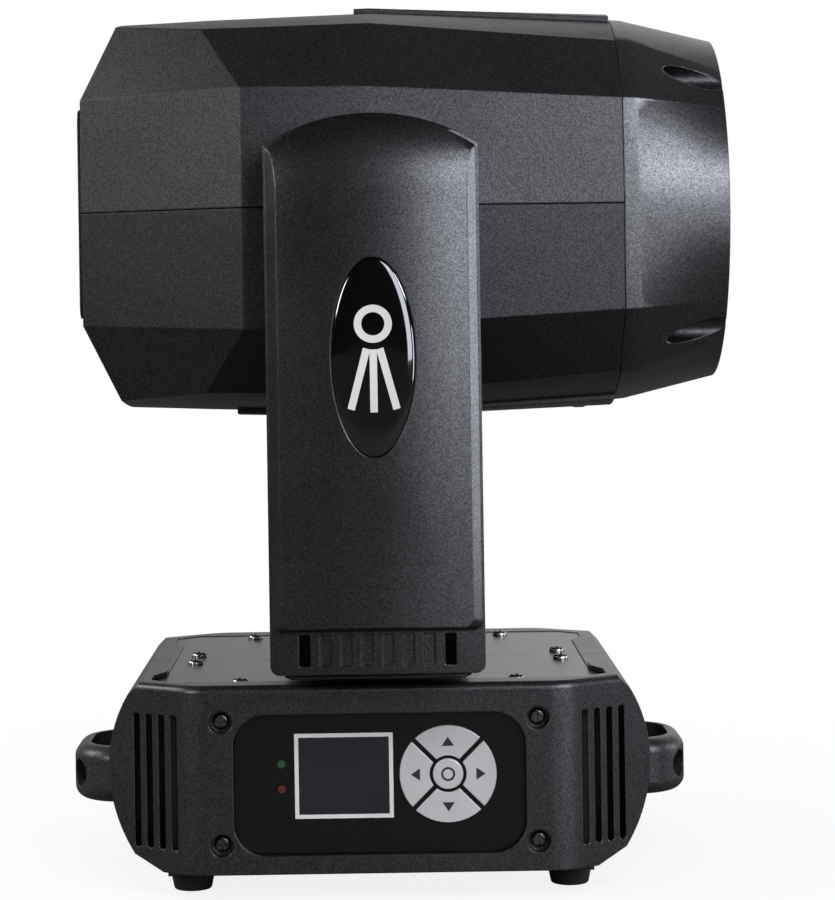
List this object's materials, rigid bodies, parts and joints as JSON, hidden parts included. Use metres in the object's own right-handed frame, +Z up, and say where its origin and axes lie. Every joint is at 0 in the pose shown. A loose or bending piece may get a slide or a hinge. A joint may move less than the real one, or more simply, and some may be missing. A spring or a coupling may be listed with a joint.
{
  "type": "moving head beam light",
  "caption": "Stage light with a faceted head that tilts in a forked yoke, which pans on a low base with a display and keys.",
  "frame": {"origin": "on the pan axis, at the underside of the base chassis, midway between the bracket holes", "axes": "+Z up along the pan axis; +X towards the lens with the head level; -Y towards the display"},
  "size_m": [0.364, 0.331, 0.4783],
  "materials": {
    "moulded_black": "fine spark-eroded texture",
    "head_plastic": "fine spark-eroded texture",
    "bezel_plastic": "fine spark-eroded texture",
    "arm_plastic": "fine spark-eroded texture",
    "handle_plastic": "fine texture",
    "chassis_steel": "black powder coat",
    "plate_steel": "black powder coat, slightly worn",
    "frame_steel": "black paint",
    "screw_steel": "blackened steel",
    "rubber": "matt",
    "belt_rubber": "matt",
    "fascia_gloss": "satin print film",
    "display_glass": "glossy window",
    "light_pipe": "clear tinted",
    "key_silver": "silver satin",
    "badge_gloss": "high gloss dome",
    "socket_plastic": "satin",
    "rocker_red": "glossy",
    "circuit_board": "solder mask",
    "supply_metal": "plain sheet",
    "fan_plastic": "satin",
    "motor_metal": "dark end caps",
    "pulley_metal": "turned",
    "bearing_brass": "turned",
    "sink_aluminium": "extruded",
    "engine_board": "white mask",
    "lens_glass": "clear, coated",
    "barrel_black": "black anodised",
    "wheel_metal": "sheet"
  },
  "bodies": {
    "base": {"front_moulding": "moulded_black", "rear_moulding": "moulded_black", "base_chassis": "chassis_steel", "side_panels": "chassis_steel", "handles": "handle_plastic", "top_plates": "plate_steel", "pan_collar": "plate_steel", "base_screws": "screw_steel", "rubber_feet": "rubber", "fascia": "fascia_gloss", "display": "display_glass", "status_lights": "light_pipe", "control_board": "circuit_board", "socket_panel": "chassis_steel", "panel_sockets": "socket_plastic", "power_inlet": "socket_plastic", "switch_frame": "socket_plastic", "power_supply": "supply_metal", "main_board": "circuit_board", "base_fan_frame": "fan_plastic", "pan_bracket": "frame_steel", "pan_motor": "motor_metal", "pan_belt": "belt_rubber"},
    "yoke": {"pan_hub": "pulley_metal", "yoke_frame": "frame_steel", "crossbar_covers": "arm_plastic", "arm_outer_covers": "arm_plastic", "arm_inner_covers": "arm_plastic", "arm_badges": "badge_gloss", "arm_screws": "screw_steel", "tilt_motor": "motor_metal", "tilt_belt": "belt_rubber", "tilt_bearings": "bearing_brass", "yoke_board": "circuit_board"},
    "head": {"head_upper_shell": "head_plastic", "head_lower_shell": "head_plastic", "front_bezel": "bezel_plastic", "head_screws": "screw_steel", "front_lens": "lens_glass", "lens_barrel": "barrel_black", "rear_cover": "head_plastic", "heat_sink": "sink_aluminium", "light_engine": "engine_board", "head_chassis": "frame_steel", "wheel_motors": "motor_metal", "head_fan_frame": "fan_plastic", "tilt_axles": "pulley_metal"},
    "key_up": {"key_up": "key_silver"},
    "key_right": {"key_right": "key_silver"},
    "key_down": {"key_down": "key_silver"},
    "key_left": {"key_left": "key_silver"},
    "key_centre": {"key_centre": "key_silver"},
    "power_rocker": {"power_rocker": "rocker_red"},
    "base_fan_rotor": {"base_fan_rotor": "fan_plastic"},
    "pan_motor_pulley": {"pan_motor_pulley": "pulley_metal"},
    "tilt_motor_pulley": {"tilt_motor_pulley": "pulley_metal"},
    "colour_wheel": {"colour_wheel": "wheel_metal"},
    "pattern_wheel": {"pattern_wheel": "wheel_metal"},
    "focus_carriage": {"focus_carriage": "barrel_black"},
    "head_fan_rotor": {"head_fan_rotor": "fan_plastic"}
  },
  "joints": [
    {"name": "pan", "type": "hinge", "parent": "base", "child": "yoke", "pos_m": [0, 0, 0.1], "axis": [0, 0, 1], "range_deg": [-270, 270]},
    {"name": "tilt", "type": "hinge", "parent": "yoke", "child": "head", "pos_m": [0, 0, 0.353], "axis": [0, -1, 0], "range_deg": [-45, 225]},
    {"name": "pan_motor_spin", "type": "hinge", "parent": "base", "child": "pan_motor_pulley", "pos_m": [0.076, 0, 0.0706], "axis": [0, 0, 1], "range_deg": [-1141, 1141]},
    {"name": "tilt_motor_spin", "type": "hinge", "parent": "yoke", "child": "tilt_motor_pulley", "pos_m": [0, -0.1558, 0.23275], "axis": [0, -1, 0], "range_deg": [-158, 788]},
    {"name": "key_up_press", "type": "slide", "parent": "base", "child": "key_up", "axis": [0, 1, 0], "range_m": [0, 0.0008], "stiffness_N_per_m": 400},
    {"name": "key_right_press", "type": "slide", "parent": "base", "child": "key_right", "axis": [0, 1, 0], "range_m": [0, 0.0008], "stiffness_N_per_m": 400},
    {"name": "key_down_press", "type": "slide", "parent": "base", "child": "key_down", "axis": [0, 1, 0], "range_m": [0, 0.0008], "stiffness_N_per_m": 400},
    {"name": "key_left_press", "type": "slide", "parent": "base", "child": "key_left", "axis": [0, 1, 0], "range_m": [0, 0.0008], "stiffness_N_per_m": 400},
    {"name": "key_centre_press", "type": "slide", "parent": "base", "child": "key_centre", "axis": [0, 1, 0], "range_m": [0, 0.0008], "stiffness_N_per_m": 400},
    {"name": "rocker_tip", "type": "hinge", "parent": "base", "child": "power_rocker", "pos_m": [0, 0.1208, 0.056], "axis": [1, 0, 0], "range_deg": [-20, 0]},
    {"name": "base_fan_spin", "type": "hinge", "parent": "base", "child": "base_fan_rotor", "pos_m": [0.1049, 0.07, 0.0323], "axis": [1, 0, 0], "continuous": true},
    {"name": "head_fan_spin", "type": "hinge", "parent": "head", "child": "head_fan_rotor", "pos_m": [-0.1233, 0, 0.353], "axis": [1, 0, 0], "continuous": true},
    {"name": "colour_wheel_spin", "type": "hinge", "parent": "head", "child": "colour_wheel", "pos_m": [-0.06, 0, 0.322], "axis": [1, 0, 0], "continuous": true},
    {"name": "pattern_wheel_spin", "type": "hinge", "parent": "head", "child": "pattern_wheel", "pos_m": [-0.046, 0, 0.384], "axis": [1, 0, 0], "continuous": true},
    {"name": "focus_slide", "type": "slide", "parent": "head", "child": "focus_carriage", "axis": [1, 0, 0], "range_m": [-0.018, 0.038]}
  ],
  "couplings": [
    {"joint": "pan_motor_spin", "follows": "pan", "ratio": 4.2222},
    {"joint": "tilt_motor_spin", "follows": "tilt", "ratio": 3.5}
  ]
}
